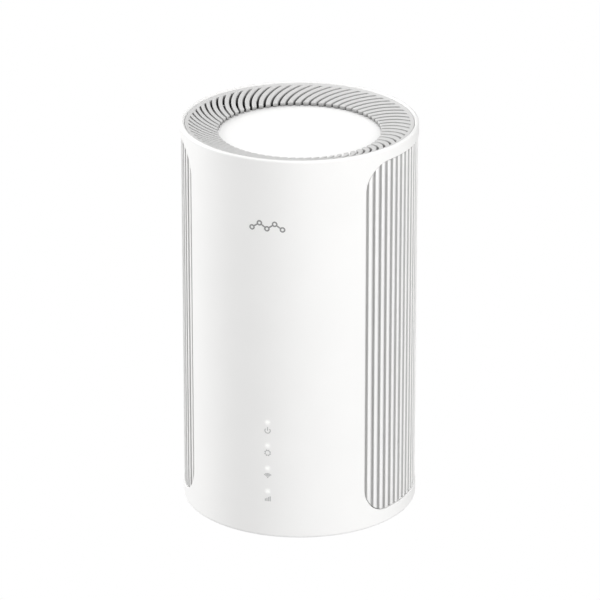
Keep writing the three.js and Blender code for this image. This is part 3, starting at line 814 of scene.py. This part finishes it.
# the fins' own grey, then the painted shade of their sides and, near black, of the deepest parts
FIN_TONE, SLOT_SHADE_TONE, PIT_SHADE_TONE = 0.61, 0.29, 0.03  # the fins' tops, their sides and the deepest parts


def dish(radius):
    """The height of the dished top at a radius."""
    return SHELL_TOP - DISH_DROP - (INSIDE - radius) * DISH_SLOPE


def fin_angle(radius):
    """How far a fin has swept round at a radius."""
    along = (FIN_OUTER - radius) / (FIN_OUTER - FIN_INNER)
    return FIN_SWEEP * (along + FIN_BOW * along * (1 - along))


def fin_section(radius, middle, shrink=0.0):
    """One cross-section of a fin, across its width and up to its rounded top."""
    half = pi * radius / FIN_COUNT * FIN_SHARE - shrink
    soft, tuck = 0.32, 0.015  # a fin ends just under the band's top
    top = dish(radius) - shrink - (tuck if radius > FIN_OUTER - 0.3 else 0.0)
    low = FIN_LOW + (FIN_LOW_OUTER - FIN_LOW) * (radius - FIN_INNER) / (FIN_ROOT - FIN_INNER)
    if radius < FIN_NOTCH:
        low = CAP_TOP + 0.3
    shape = [(-half, low)]
    shape += [(-half + soft * (1 - c), top - soft + soft * s) for s, c in arc(3)]
    shape += [(half - soft * (1 - s), top - soft + soft * c) for s, c in arc(3)]
    shape.append((half, low))
    a = radians(middle)
    out = []
    for w, z in shape:
        b = a + w / radius
        out.append((radius * sin(b), -radius * cos(b), z))
    return out


def swirl_material():
    """Light grey fins with painted shade that darkens them down into the slots."""
    n = Nodes("swirl_grey")
    parts = n.add("ShaderNodeSeparateXYZ")
    n.link(n.position, parts.inputs[0])
    top = n.math("ADD", n.math("MULTIPLY", axis_distance(n), DISH_SLOPE), dish(0) * MM)
    depth = n.math("SUBTRACT", top, parts.outputs["Z"])
    light = clouded(n, FIN_TONE * 0.98, FIN_TONE)
    painted_slot_shade = clouded(n, SLOT_SHADE_TONE * 0.96, SLOT_SHADE_TONE)
    # painted shade: the further below the dish top, the darker, down to near black
    painted_pit_shade = n.mix(n.spread(depth, 0, 1, 1.0 * MM, 3.0 * MM), painted_slot_shade, grey(PIT_SHADE_TONE))
    body = n.mix(n.spread(depth, 0, 1, 0.08 * MM, 0.9 * MM), light, painted_pit_shade)
    return shaded(n, body, FIN_TONE * 1.05, 0.2, 0.51)


SWIRL = swirl_material()


def build_grille():
    """Swept fins hung from a band inside the sleeve, over a ledge that carries the disc."""
    steps = 22
    stations = [(FIN_ROOT + (FIN_NOTCH - FIN_ROOT) * i / steps, 0.0) for i in range(steps + 1)]
    stations += [(FIN_NOTCH - 0.01 + (FIN_INNER + 0.19 - FIN_NOTCH) * i / 4, 0.0) for i in range(5)]
    stations += [(FIN_INNER + 0.06, 0.06), (FIN_INNER, 0.18)]
    fins = Mesh()
    for f in range(FIN_COUNT):
        start = FIN_PHASE + f * 360 / FIN_COUNT
        fins.capped([fin_section(r, start + fin_angle(r), shrink) for r, shrink in stations])
    tool = loose("fins", fins, SWIRL)

    rings = Mesh()
    edge = INSIDE - 0.12
    band = [(FIN_OUTER, BAND_LOW, 0), (edge, BAND_LOW, 0.2), (edge, dish(edge), 0.2)]
    band.append((FIN_OUTER, dish(FIN_OUTER), 0))
    turned(rings, rounded_profile(band), 264, closed=True)
    low, seat, lip, wall = CAP_TOP - 3.7, CAP_TOP - 2.4, CAP_TOP - 1.0, CAP_RADIUS + 0.3
    ledge = [(34.0, low), (41.8, low), (41.8, lip), (wall, lip), (wall, seat), (34.0, seat)]
    turned(rings, ledge, 264, closed=True)
    obj = loose("top_swirl", rings, SWIRL)
    combine(obj, tool, "UNION", "MANIFOLD")
    finish_object(taken_mesh(obj), "top_swirl", ["top_grille"], smooth=40)


def build_cap():
    """The disc in the middle, faintly crowned, with a ring wall under it."""
    skirt_out, skirt_in, skirt_low = 33.6, 32.4, CAP_TOP - 5.7
    under, soft, crown = CAP_TOP - 2.1, 0.6, 0.05
    profile = [(0.0, under), (skirt_in, under), (skirt_in, skirt_low), (skirt_out, skirt_low)]
    profile += [(skirt_out, under), (CAP_RADIUS - 0.3, under), (CAP_RADIUS, under + 0.3)]
    profile += [(CAP_RADIUS - soft * (1 - c), CAP_TOP - soft + soft * s) for s, c in arc(6)]
    profile += [(r, CAP_TOP + crown * (1 - (r / CAP_RADIUS) ** 2)) for r in (30.0, 20.0, 10.0)]
    profile.append((0.0, CAP_TOP + crown))
    mesh = Mesh()
    turned(mesh, profile, 240)
    make_object("top_disc", mesh, CAP, ["top_cap"], smooth=40)


build_grille()
build_cap()

# ---- Status lights, symbols and the mark ----


def build_light_guide():
    """The clear moulding's bar behind the sleeve, with a domed lit tip in each hole."""
    tips = Mesh()
    for z in LIGHTS:
        tip = LIGHT_HOLE - 0.04
        rings = []
        for r, d in ((tip, -2.4), (tip, -0.1), (tip * 0.93, -0.05), (tip * 0.7, -0.03), (tip * 0.35, -0.02)):
            rings.append([wrap(u, v, R + d) for u, v in circle_outline((0, z), r)])
        tips.capped(rings)
    make_object("light_tips", tips, LENS, ["light_guide"], smooth=50)
    outline = rounded_outline((0, sum(LIGHTS) / 4), (2.5, 21), 1.0, corner_steps=4)
    mesh = prism_y(outline, -53.2, -51.4)
    bevelled(make_object("light_guide_bar", mesh, CLEAR), 0.2)


def bar_shape(u0, z0, u1, z1, thick):
    """A straight bar with round ends between two points, as an outline."""
    a = atan2(z1 - z0, u1 - u0)
    h = thick / 2
    out = []
    for (u, z), start in (((u1, z1), a - pi / 2), ((u0, z0), a + pi / 2)):
        for i in range(7):
            t = start + pi * i / 6
            out.append((u + h * cos(t), z + h * sin(t)))
    return out


def printed(name, shapes, strips, look, z_middle):
    """Flat print on the sleeve: filled outlines, and strips between an inner and an outer line."""
    lift, sink = PRINT - 0.002, 0.01
    mesh = Mesh()
    for shape in shapes:
        top = [wrap(u, z + z_middle, R + lift) for u, z in shape]
        low = [wrap(u, z + z_middle, R - sink) for u, z in shape]
        mesh.strips([low, top])
        mesh.cap(top)
        mesh.cap(low)
    for inner, outer, closed in strips:
        sections = []
        for (ui, zi), (uo, zo) in zip(inner, outer):
            corners = ((ui, zi, -sink), (ui, zi, lift), (uo, zo, lift), (uo, zo, -sink))
            sections.append([wrap(u, z + z_middle, R + d) for u, z, d in corners])
        if closed:
            sections.append(sections[0])
        mesh.strips(sections)
        if not closed:
            mesh.cap(sections[0])
            mesh.cap(sections[-1])
    make_object(name, mesh, look, smooth=60)


def arc_strip(radius, thick, start, end, steps, centre=(0, 0)):
    """A curved line of a thickness, from start to end in degrees anticlockwise from the right."""
    closed = abs(end - start) >= 360
    count = steps if closed else steps + 1
    angles = [radians(start + (end - start) * i / steps) for i in range(count)]
    lines = []
    for r in (radius - thick / 2, radius + thick / 2):
        lines.append([(centre[0] + r * cos(a), centre[1] + r * sin(a)) for a in angles])
    return (*lines, closed)


def build_symbols():
    """Four small signs, one under each light: power, settings, wireless and signal."""
    power = [bar_shape(0, 0.2, 0, 1.6, 0.45)]
    printed("symbol_power", power, [arc_strip(1.3, 0.45, 138, 402, 24)], SYMBOL, 56.0)
    teeth = [
        bar_shape(1.3 * cos(a), 1.3 * sin(a), 1.48 * cos(a), 1.48 * sin(a), 0.5)
        for a in (radians(45 * i + 22.5) for i in range(8))
    ]
    printed("symbol_settings", teeth, [arc_strip(1.2, 0.34, 0, 360, 24)], SYMBOL, 44.6)
    fan = [arc_strip(r, 0.44, 37, 143, 12, (0, -1.1)) for r in (0.85, 1.45, 2.05)]
    printed("symbol_wireless", [circle_outline((0, -1.05), 0.34, steps=12)], fan, SYMBOL, 33.0)
    bars = [bar_shape(-1.17 + 0.78 * i, -1.0, -1.17 + 0.78 * i, -0.15 + 0.42 * i, 0.52) for i in range(4)]
    printed("symbol_signal", bars, [], SYMBOL, 20.95)


def build_mark():
    """A small zigzag of linked dots: a plain sign for a mesh network."""
    step, rise, gap = 3.65, 1.25, 1.6
    dots = [(step * i, rise if i % 2 else -rise) for i in range(-2, 3)]
    rings = [arc_strip(1.0, 0.72, 0, 360, 20, d) for d in dots]
    links = []
    for (u0, z0), (u1, z1) in zip(dots, dots[1:]):
        length = hypot(u1 - u0, z1 - z0)
        du, dz = (u1 - u0) / length * gap, (z1 - z0) / length * gap
        links.append(bar_shape(u0 + du, z0 + dz, u1 - du, z1 - dz, 0.7))
    printed("network_mark", links, rings, MARK, 158.6)


build_light_guide()
build_symbols()
build_mark()

# ---- Base ----

(_, _, BASE_LOW), (BASE_RADIUS, _, RIM_HIGH) = box("base_cover")
BASE_HIGH, RIM_WALL = BASE_LOW + 2.4, 1.8
SCREW_CIRCLE, FOOT_CIRCLE = 40, 42
BASE_SLOTS = 12


def around(radius, angle):
    """A place in X and Y, from a radius and an angle from the front."""
    a = radians(angle)
    return radius * sin(a), -radius * cos(a)


def radial_slot(angle, r0, r1, width):
    """The outline of a slot with round ends, pointing outwards."""
    outline = bar_shape(0, -r0 - width / 2, 0, -r1 + width / 2, width)
    c, s = cos(radians(angle)), sin(radians(angle))
    return [(x * c - y * s, x * s + y * c) for x, y in outline]


def build_base():
    """The base plate: a rim, screw seats that are bored and counterbored, and air slots."""
    mesh = Mesh()
    plate = [(0.0, BASE_LOW), (BASE_RADIUS - 0.5, BASE_LOW), (BASE_RADIUS, BASE_LOW + 0.5)]
    plate += [(BASE_RADIUS, RIM_HIGH), (BASE_RADIUS - RIM_WALL, RIM_HIGH)]
    plate += [(BASE_RADIUS - RIM_WALL, BASE_HIGH), (0.0, BASE_HIGH)]
    turned(mesh, plate, 180)
    obj = loose("base", mesh, BASE)
    seats, tools = Mesh(), Mesh()
    for k in range(4):
        centre = around(SCREW_CIRCLE, 90 * k)
        prism_z(seats, circle_outline(centre, 4.6, steps=48), 4.2, 7.0)
        prism_z(tools, circle_outline(centre, 3.2, steps=48), 1.0, 4.6)
        prism_z(tools, circle_outline(centre, 1.75, steps=32), 4.0, 8.0)
    combine(obj, loose("seats", seats, BASE), "UNION")
    combine(obj, loose("holes", tools, BASE), "DIFFERENCE")
    slots = Mesh()
    for i in range(BASE_SLOTS):
        prism_z(slots, radial_slot((i + 0.5) * 360 / BASE_SLOTS, 23, 35, 2.4), 0, 6)
    combine(obj, loose("slots", slots, BASE), "DIFFERENCE")
    base = finish_object(taken_mesh(obj), "base_plate", ["base_cover"], smooth=35)
    bevelled(base, 0.15, 1, 50)


def build_feet():
    """Round rubber feet, each with a shallow dimple."""
    profile = [(0.0, 0.25), (4.2, 0.25), (4.5, 0.0), (5.7, 0.0)]
    profile += [(5.7 + 0.8 * s, 0.8 * (1 - c)) for s, c in arc(4)]
    profile += [(6.5, 1.9), (0.0, 1.9)]
    foot = Mesh()
    turned(foot, profile, 48)
    for k in range(4):
        x, y = around(FOOT_CIRCLE, 45 + 90 * k)
        placed = Mesh()
        placed.surface([(px + x, py + y, pz) for px, py, pz in foot.points], foot.faces)
        node = f"rubber_foot_{k + 1}"
        make_object(f"foot_{k + 1}", placed, RUBBER, [node], smooth=40)


def build_base_screws():
    """Pan-head screws with a cross recess and a ribbed shank."""
    profile = [(0.0, 2.4)] + [(2.2 + 0.7 * s, 2.4 + 0.7 * (1 - c)) for s, c in arc(4)]
    profile += [(2.9, 4.2), (1.45, 4.2)]
    profile += [(1.45 - 0.25 * (i % 2), 4.6 + 0.5 * i) for i in range(18)]
    profile += [(0.9, 14.2), (0.0, 14.2)]
    shape = Mesh()
    turned(shape, profile, 32)
    for k in range(4):
        obj = loose("screw", shape, STEEL)
        for hu, hv in ((1.6, 0.32), (0.32, 1.6)):
            outline = rectangle(-hu, hu, -hv, hv)
            cross = Mesh()
            cross.capped([[(u * w, v * w, z) for u, v in outline] for z, w in ((1.9, 1.0), (3.4, 0.6))])
            combine(obj, loose("cross", cross, STEEL), "DIFFERENCE")
        mesh = taken_mesh(obj)
        x, y = around(SCREW_CIRCLE, 90 * k)
        for vertex in mesh.vertices:
            vertex.co.x += x * MM
            vertex.co.y += y * MM
        finish_object(mesh, f"base_fastener_{k + 1}", [f"base_screw_{k + 1}"], smooth=35)


def build_label():
    """A round label with nothing on it."""
    mesh = Mesh()
    turned(mesh, [(0.0, 1.75), (17.9, 1.75), (18.0, 1.8), (18.0, 1.95), (0.0, 1.95)], 96)
    make_object("blank_label", mesh, LABEL, ["rating_label"], smooth=40)


build_base()
build_feet()
build_base_screws()
build_label()

# ---- Rear sockets and buttons ----

TRAY_FACE = TRAY_BACK + 2
_, (_, SOCKET_FACE, _) = box("wan_jack_shield")
PORTS = {"wan": height("wan_jack_shield"), "lan": height("lan_jack_shield")}
PORTS["power"] = height("power_jack_body")
PORTS["reset"] = height("reset_plunger")
PORTS["mesh"] = height("mesh_button")


def carve(obj, outline, y0, y1):
    """Cuts an outline in X and Z out of an object, from y0 to y1."""
    combine(obj, loose("tool", prism_y(outline, y0, y1), obj.data.materials[0]), "DIFFERENCE")


def placed_object(obj, name, nodes, bevel, segments=2):
    """Turns a loose object into a piece of the casing."""
    bevelled(finish_object(taken_mesh(obj), name, nodes, smooth=35), bevel, segments)


def build_bezel():
    """The tray behind the rear cut-out: a rim that follows the sleeve, and a floor with five openings."""
    gap, side, beyond = 0.3, 1.6, 62
    half, low, high = BEZEL_HALF - gap, BEZEL_LOW + gap, BEZEL_HIGH - gap
    obj = loose("bezel", prism_y(rectangle(-half, half, low, high, 3.9, 10), TRAY_BACK, beyond), BEZEL)
    flange = rectangle(-FLANGE_HALF, FLANGE_HALF, BEZEL_LOW - LAP, BEZEL_HIGH + LAP, 2.0)
    flange = prism_y(flange, TRAY_BACK, TRAY_FACE + 0.6)
    combine(obj, loose("flange", flange, BEZEL), "UNION")
    round_bar = Mesh()
    turned(round_bar, [(0.0, 0.0), (R - 0.4, 0.0), (R - 0.4, 150.0), (0.0, 150.0)], 240)
    combine(obj, loose("round", round_bar, BEZEL), "INTERSECT")
    pocket = rectangle(-half + side, half - side, low + side, high - side, 2.4, 8)
    carve(obj, pocket, TRAY_FACE, 70)
    jacks = [PORTS["wan"], PORTS["lan"]]
    power = PORTS["power"]
    openings = [rectangle(-7.05, 7.05, z - 8.3, z + 8.3, 0.4, 3) for z in jacks]
    openings.append(rectangle(-6.9, 4.7, power - 4.8, power + 4.8, 0.4, 3))
    openings.append(circle_outline((0, PORTS["reset"]), 1.1, steps=24))
    openings.append(circle_outline((0, PORTS["mesh"]), 4.3, steps=48))
    for opening in openings:
        carve(obj, opening, TRAY_BACK - 3, TRAY_FACE + 1)
    placed_object(obj, "socket_tray", ["rear_io_bezel"], 0.2)


def socket_contacts(z):
    """The eight sprung contacts of a network socket."""
    half, thick_x, thick_y = 0.2, 0.16, 0.06
    path = [(-3.45, -3.2), (-3.1, -3.0), (-1.5, -9.5), (-1.75, -10.0)]
    contacts = Mesh()
    for i in range(8):
        middle = z + (i - 3.5) * 1.02
        sections = []
        for x, depth in path:
            y = SOCKET_FACE + depth
            low, high = middle - half, middle + half
            far = (x + thick_x, y + thick_y)
            sections.append([(x, y, low), (*far, low), (*far, high), (x, y, high)])
        contacts.capped(sections)
    return contacts


def build_jack(name):
    """A network socket: a metal can, a black insert with its keyed cavity, contacts and two light lenses."""
    z, face = PORTS[name], SOCKET_FACE
    back = face - 21.3
    can = prism_y(rectangle(-6.75, 6.75, z - 8, z + 8, 0.5, 3), back, face)
    shell = loose("shell", can, TIN)
    carve(shell, rectangle(-6.35, 6.35, z - 7.6, z + 7.6, 0.3, 3), back + 0.4, face + 1)
    placed_object(shell, f"{name}_socket_can", [f"{name}_jack_shield"], 0.08, segments=1)
    filling = rectangle(-6.1, 6.1, z - 7.35, z + 7.35, 0.3, 3)
    insert = loose("insert", prism_y(filling, back + 0.65, face - 0.1), BLACK)
    key = [(-3.6, -6), (3.2, -6), (3.2, -3.2), (5.2, -3.2), (5.2, 3.2), (3.2, 3.2), (3.2, 6), (-3.6, 6)]
    cavity = [(x, z + v) for x, v in key]
    carve(insert, cavity, face - 14, face + 1)
    placed_object(insert, f"{name}_socket_body", [f"{name}_jack_insert"], 0.15)
    contacts = socket_contacts(z)
    make_object(f"{name}_socket_contacts", contacts, GOLD)
    for part, middle, tint in (
        ("link", z + 5.3, (0.25, 0.75, 0.3, 1)),
        ("activity", z - 5.3, (0.9, 0.6, 0.15, 1)),
    ):
        window = rectangle(3.6, 5.8, middle - 1.3, middle + 1.3, 0.3, 3)
        lens = prism_y(window, face - 0.3, face + 0.02)
        look = clear_plastic(f"{part}_tint", tint)
        bevelled(make_object(f"{name}_{part}_lens", lens, look), 0.08)


def build_power_socket():
    """A round power socket with a lining spring and a centre pin."""
    z, face = PORTS["power"], SOCKET_FACE
    block = prism_y(rectangle(-6.6, 4.4, z - 4.5, z + 4.5, 0.5, 4), face - 14, face)
    body = loose("power", block, BLACK)
    carve(body, circle_outline((0, z), 3.15, steps=48), face - 9.5, face + 1)
    carve(body, circle_outline((0, z), 1.3, steps=24), face - 15, face - 9)
    placed_object(body, "power_socket", ["power_jack_body"], 0.2)
    spring = Mesh()
    profile = [(3.12, -9.4), (3.12, -0.6), (2.9, -0.6), (2.9, -9.4), (3.12, -9.4)]
    spring.strips(rings_y(z, [(r, face + d) for r, d in profile]))
    make_object("power_socket_spring", spring, TIN)
    pin = Mesh()
    profile = [(1.0, -13.5), (1.0, -1.9), (0.92, -1.4), (0.68, -1.08), (0.3, -1.0)]
    pin.capped(rings_y(z, [(r, face + d) for r, d in profile], 24))
    make_object("power_pin", pin, BRASS, ["power_jack_pin"], smooth=40)


def round_piece(name, z, profile, look, node, body):
    """A piece turned about an axis along Y, from [radius, y] points, with flat ends."""
    mesh = Mesh()
    mesh.capped(rings_y(z, profile))
    make_object(name, mesh, look, [node], body, smooth=40)


def build_buttons():
    """The pairing button with its flange, and the reset pin in its small hole."""
    back, face = TRAY_BACK, TRAY_FACE
    front = face + 1.1
    profile = [(1.6, back - 2.6), (1.6, back - 2.3), (5.0, back - 2.3), (5.0, back - 0.3), (4.0, back - 0.3)]
    profile += [(4.0 - 0.45 * (1 - c), front - 0.45 + 0.45 * s) for s, c in arc(5)]
    profile += [(3.0, front - 0.02), (2.2, front - 0.14), (1.0, front - 0.22), (0.2, front - 0.24)]
    round_piece("pairing_button", PORTS["mesh"], profile, BASE, "mesh_button", "mesh_button")
    profile = [(1.5, back - 2.9), (1.5, back - 0.5), (0.75, back - 0.5)]
    profile += [(0.75, face - 1.1), (0.6, face - 0.92), (0.2, face - 0.9)]
    round_piece("reset_pin", PORTS["reset"], profile, BEZEL, "reset_plunger", "reset_plunger")


build_bezel()
build_jack("wan")
build_jack("lan")
build_power_socket()
build_buttons()

# ---- Stage and light ----

FLOOR_LIGHT, CEILING_LIGHT = 0.66, 1.28
FLOOR_SIZE = 6.0  # metres, from the middle
# painted shadow: the floor is painted dark under the object, fading out between the two radii below
SHADE = 0.03  # how bright the floor looks under the object
SHADE_INNER, SHADE_OUTER = R - 9, R - 6


def stage_material():
    """White to the camera but with a painted shadow under the object, softer as a source of light, and clear
    from below.
    """
    n = Nodes("floor_white")
    tree = n.tree
    out = tree.nodes["Material Output"]
    tree.nodes.remove(n.shader)
    glow = n.add("ShaderNodeEmission")
    path = n.add("ShaderNodeLightPath")
    away = n.add("ShaderNodeVectorMath", operation="LENGTH")
    n.link(n.position, away.inputs[0])
    # the painted shadow under the object, as the camera sees the floor
    seen = n.spread(away.outputs["Value"], SHADE, 1.0, SHADE_INNER * MM, SHADE_OUTER * MM)
    camera = path.outputs["Is Camera Ray"]
    lit = n.math("ADD", n.math("MULTIPLY", camera, seen), n.spread(camera, FLOOR_LIGHT, 0.0, 0.0, 1.0))
    n.link(lit, glow.inputs["Strength"])
    clear = n.add("ShaderNodeBsdfTransparent")
    mixer = n.add("ShaderNodeMixShader")
    n.link(n.add("ShaderNodeNewGeometry").outputs["Backfacing"], mixer.inputs[0])
    n.link(glow.outputs[0], mixer.inputs[1])
    n.link(clear.outputs[0], mixer.inputs[2])
    n.link(mixer.outputs[0], out.inputs["Surface"])
    return n.material


def make_stage():
    """A floor that is white to the camera, and a white room that lights from above."""
    mesh = bpy.data.meshes.new("floor")
    corners = rectangle(-FLOOR_SIZE, FLOOR_SIZE, -FLOOR_SIZE, FLOOR_SIZE)
    mesh.from_pydata([(x, y, 0) for x, y in corners], [], [(0, 1, 2, 3)])
    mesh.materials.append(stage_material())
    new_object("floor", mesh)

    world = bpy.data.worlds.new("studio")
    bpy.context.scene.world = world
    world.use_nodes = True
    new, link = world.node_tree.nodes.new, world.node_tree.links.new
    back = world.node_tree.nodes["Background"]
    back.inputs["Color"].default_value = (1, 1, 1, 1)
    upwards = new("ShaderNodeVectorMath")
    upwards.operation = "DOT_PRODUCT"
    link(new("ShaderNodeTexCoord").outputs["Generated"], upwards.inputs[0])
    upwards.inputs[1].default_value = (0, 0, 1)
    room = new("ShaderNodeMapRange")
    room.inputs["To Max"].default_value = CEILING_LIGHT
    link(upwards.outputs["Value"], room.inputs["Value"])
    strength = new("ShaderNodeMapRange")
    strength.inputs["To Max"].default_value = 1.0
    link(room.outputs["Result"], strength.inputs["To Min"])
    link(new("ShaderNodeLightPath").outputs["Is Camera Ray"], strength.inputs["Value"])
    link(strength.outputs["Result"], back.inputs["Strength"])


LIGHT_DISTANCE, LIGHT_AIM = 1.5, 0.1  # metres: how far off, and the height they point at


def soft_box(name, azimuth, elevation, size, power):
    """A soft rectangular light; its azimuth counts from the camera, to its right."""
    data = bpy.data.lights.new(name, "AREA")
    data.shape = "RECTANGLE"
    data.size, data.size_y = size
    data.energy = power
    look_from(new_object(name, data), VIEW_AZIMUTH + azimuth, elevation, LIGHT_DISTANCE, LIGHT_AIM)


SOFT_BOXES = [
    ("rear_left", -115, 12, (0.8, 1.4), 24.2),
    ("front", 10, 12, (0.4, 1.4), 9.4),
    ("front_right", 60, 12, (0.4, 1.4), 9.0),
]

make_stage()
for box in SOFT_BOXES:
    soft_box(*box)

bpy.context.scene.view_settings.view_transform = "Standard"
